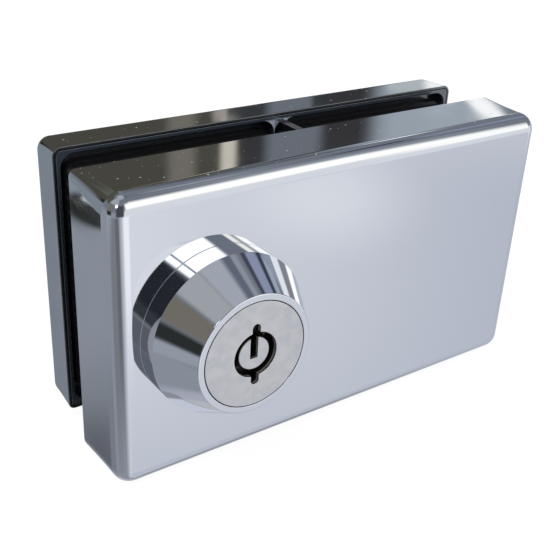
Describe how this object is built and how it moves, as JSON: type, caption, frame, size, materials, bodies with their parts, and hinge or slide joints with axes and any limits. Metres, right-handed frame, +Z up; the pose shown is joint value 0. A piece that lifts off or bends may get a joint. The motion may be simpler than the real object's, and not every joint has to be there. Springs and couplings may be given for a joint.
{
  "type": "glass door lock",
  "caption": "Clamp-on key lock for frameless glass: a front case with rose, key cylinder and sliding round bolt, and a rear case with socket, held apart by a web between the glass slots.",
  "frame": {"origin": "on the surface that the lock stands on, under the middle of its bounding box; the front case's lower edge lies in z = 0", "axes": "+X along the front case to the right as seen from the key side, -Y out of the front face towards the person with the key, +Z up"},
  "size_m": [0.11, 0.0494, 0.0639],
  "materials": {
    "polished_steel": "stainless steel polished to a mirror",
    "rose_chrome": "bright chrome on a turned rose",
    "satin_nickel": "satin nickel",
    "body_plastic": "black moulded nylon",
    "pad_rubber": "black ribbed rubber",
    "brass": "turned brass",
    "bolt_steel": "ground stainless steel",
    "web_steel": "satin stainless steel",
    "plain_steel": "plain zinc-plated steel"
  },
  "bodies": {
    "root": {"front_cover": "polished_steel", "front_body": "body_plastic", "front_pad_left": "pad_rubber", "front_pad_right": "pad_rubber", "rose": "rose_chrome", "rose_nut": "brass", "cylinder_housing": "satin_nickel", "pin_sleeve": "brass", "sleeve_pin": "plain_steel", "driver_pins": "brass", "pin_springs": "plain_steel", "bolt_guide": "brass", "guide_pin": "plain_steel", "back_plate": "plain_steel", "plate_screws": "plain_steel", "centre_web": "web_steel", "thread_inserts": "brass", "clamp_screws": "plain_steel", "rear_cover": "polished_steel", "rear_body": "body_plastic", "rear_pad_left": "pad_rubber", "rear_pad_right": "pad_rubber", "bolt_socket": "plain_steel"},
    "key": {"key_spindle": "satin_nickel", "key_pins": "brass", "drive_tail": "plain_steel", "tail_pin": "plain_steel", "drive_pin": "plain_steel"},
    "bolt": {"bolt": "bolt_steel"}
  },
  "joints": [
    {"name": "key_turn", "type": "hinge", "parent": "root", "child": "key", "pos_m": [-0.0328, -0.012, 0.0326], "axis": [0, 1, 0], "range_deg": [0, 180]},
    {"name": "bolt_slide", "type": "slide", "parent": "root", "child": "bolt", "axis": [0, 1, 0], "range_m": [0, 0.012]}
  ],
  "couplings": [
    {"joint": "bolt_slide", "follows": "key_turn", "m_per_rad": 0.0038197}
  ]
}
